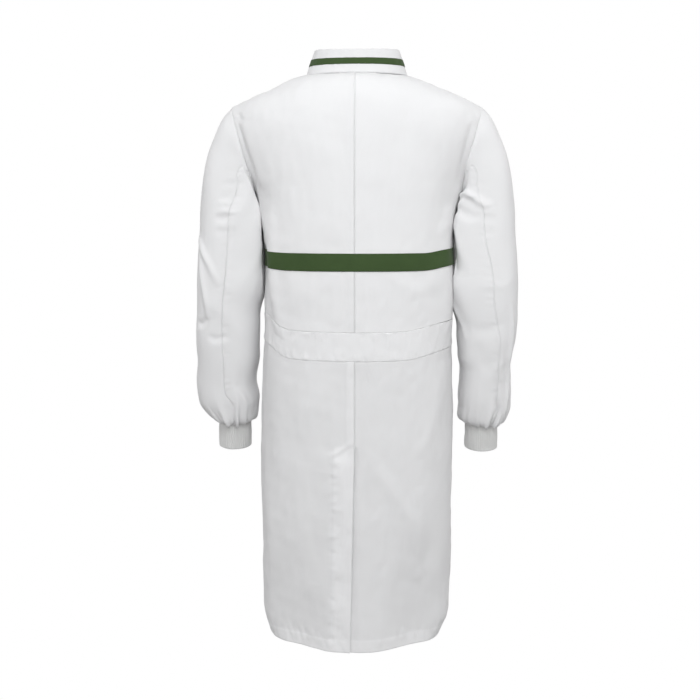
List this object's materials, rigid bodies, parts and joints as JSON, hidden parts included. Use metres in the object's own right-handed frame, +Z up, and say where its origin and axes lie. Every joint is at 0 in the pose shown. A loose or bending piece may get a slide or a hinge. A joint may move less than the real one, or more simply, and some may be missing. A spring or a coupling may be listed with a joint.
{
  "type": "laboratory coat",
  "caption": "Knee-length white lab coat with stand collar, coloured chest and collar tapes, knitted cuffs, inset waistband, back vent and a press-stud front.",
  "frame": {"origin": "middle of the bounding box at the level of the hem", "axes": "+Z up from the hem to the collar, +Y out of the coat's back, +X to the wearer's left"},
  "size_m": [0.6266, 0.2694, 1.1252],
  "materials": {
    "coat_cloth": "white woven cloth, matt",
    "tape_cloth": "dark green woven tape, matt",
    "knit": "white rib knit, matt",
    "stud_metal": "satin nickel"
  },
  "bodies": {
    "coat_body": {"back_left": "coat_cloth", "back_right": "coat_cloth", "waistband_back": "coat_cloth", "skirt_back_left": "coat_cloth", "skirt_back_right": "coat_cloth", "chest_tape_back": "tape_cloth", "front_left_side": "coat_cloth", "front_right_side": "coat_cloth", "waistband_left_side": "coat_cloth", "waistband_right_side": "coat_cloth", "skirt_left_side": "coat_cloth", "skirt_right_side": "coat_cloth", "chest_tape_left_side": "tape_cloth", "chest_tape_right_side": "tape_cloth", "placket_left_upper": "coat_cloth", "placket_right_upper": "coat_cloth", "neck_stud_cap": "stud_metal", "neck_stud_socket": "stud_metal", "neck_stud_post": "stud_metal", "neck_stud_ring": "stud_metal", "collar_outer": "coat_cloth", "collar_inner": "coat_cloth", "collar_tape": "tape_cloth", "neck_label": "coat_cloth", "pocket_bag_left": "coat_cloth", "pocket_bag_right": "coat_cloth"},
    "left_front": {"front_left_flap": "coat_cloth", "waistband_left_flap": "coat_cloth", "skirt_left_flap": "coat_cloth", "chest_tape_left_flap": "tape_cloth", "placket_left_lower": "coat_cloth", "stud_caps": "stud_metal", "stud_sockets": "stud_metal"},
    "right_front": {"front_right_flap": "coat_cloth", "waistband_right_flap": "coat_cloth", "skirt_right_flap": "coat_cloth", "chest_tape_right_flap": "tape_cloth", "placket_right_lower": "coat_cloth", "stud_posts": "stud_metal", "stud_rings": "stud_metal"},
    "left_sleeve": {"sleeve_top_left": "coat_cloth", "sleeve_under_left": "coat_cloth", "cuff_left": "knit"},
    "right_sleeve": {"sleeve_top_right": "coat_cloth", "sleeve_under_right": "coat_cloth", "cuff_right": "knit"},
    "vent_left_edge": {"vent_flap": "coat_cloth", "vent_facing": "coat_cloth"},
    "vent_right_edge": {"vent_underlap": "coat_cloth"},
    "loop": {"hanging_loop": "coat_cloth"}
  },
  "joints": [
    {"name": "left_sleeve_swing", "type": "hinge", "parent": "coat_body", "child": "left_sleeve", "pos_m": [0.218, 0, 0.929], "axis": [-0.9611, 0, 0.2762], "range_deg": [-25, 70]},
    {"name": "right_sleeve_swing", "type": "hinge", "parent": "coat_body", "child": "right_sleeve", "pos_m": [-0.218, 0, 0.929], "axis": [-0.9611, 0, -0.2762], "range_deg": [-25, 70]},
    {"name": "left_front_open", "type": "hinge", "parent": "coat_body", "child": "left_front", "pos_m": [0.095, -0.114, 0.45], "axis": [-0.0994, -0.042, 0.9942], "range_deg": [0, 100]},
    {"name": "right_front_open", "type": "hinge", "parent": "coat_body", "child": "right_front", "pos_m": [-0.095, -0.114, 0.45], "axis": [-0.0994, 0.042, -0.9942], "range_deg": [0, 40]},
    {"name": "vent_flap_swing", "type": "hinge", "parent": "coat_body", "child": "vent_left_edge", "pos_m": [0.04, 0.1315, 0.19], "axis": [0, 0, -1], "range_deg": [0, 50]},
    {"name": "vent_underlap_swing", "type": "hinge", "parent": "coat_body", "child": "vent_right_edge", "pos_m": [0, 0.1268, 0.19], "axis": [0, 0, -1], "range_deg": [0, 30]},
    {"name": "hanging_loop_flip", "type": "hinge", "parent": "coat_body", "child": "loop", "pos_m": [0, 0.061, 1.075], "axis": [-1, 0, 0], "range_deg": [0, 130]}
  ],
  "couplings": [
    {"joint": "right_front_open", "follows": "left_front_open", "ratio": 0.4}
  ]
}
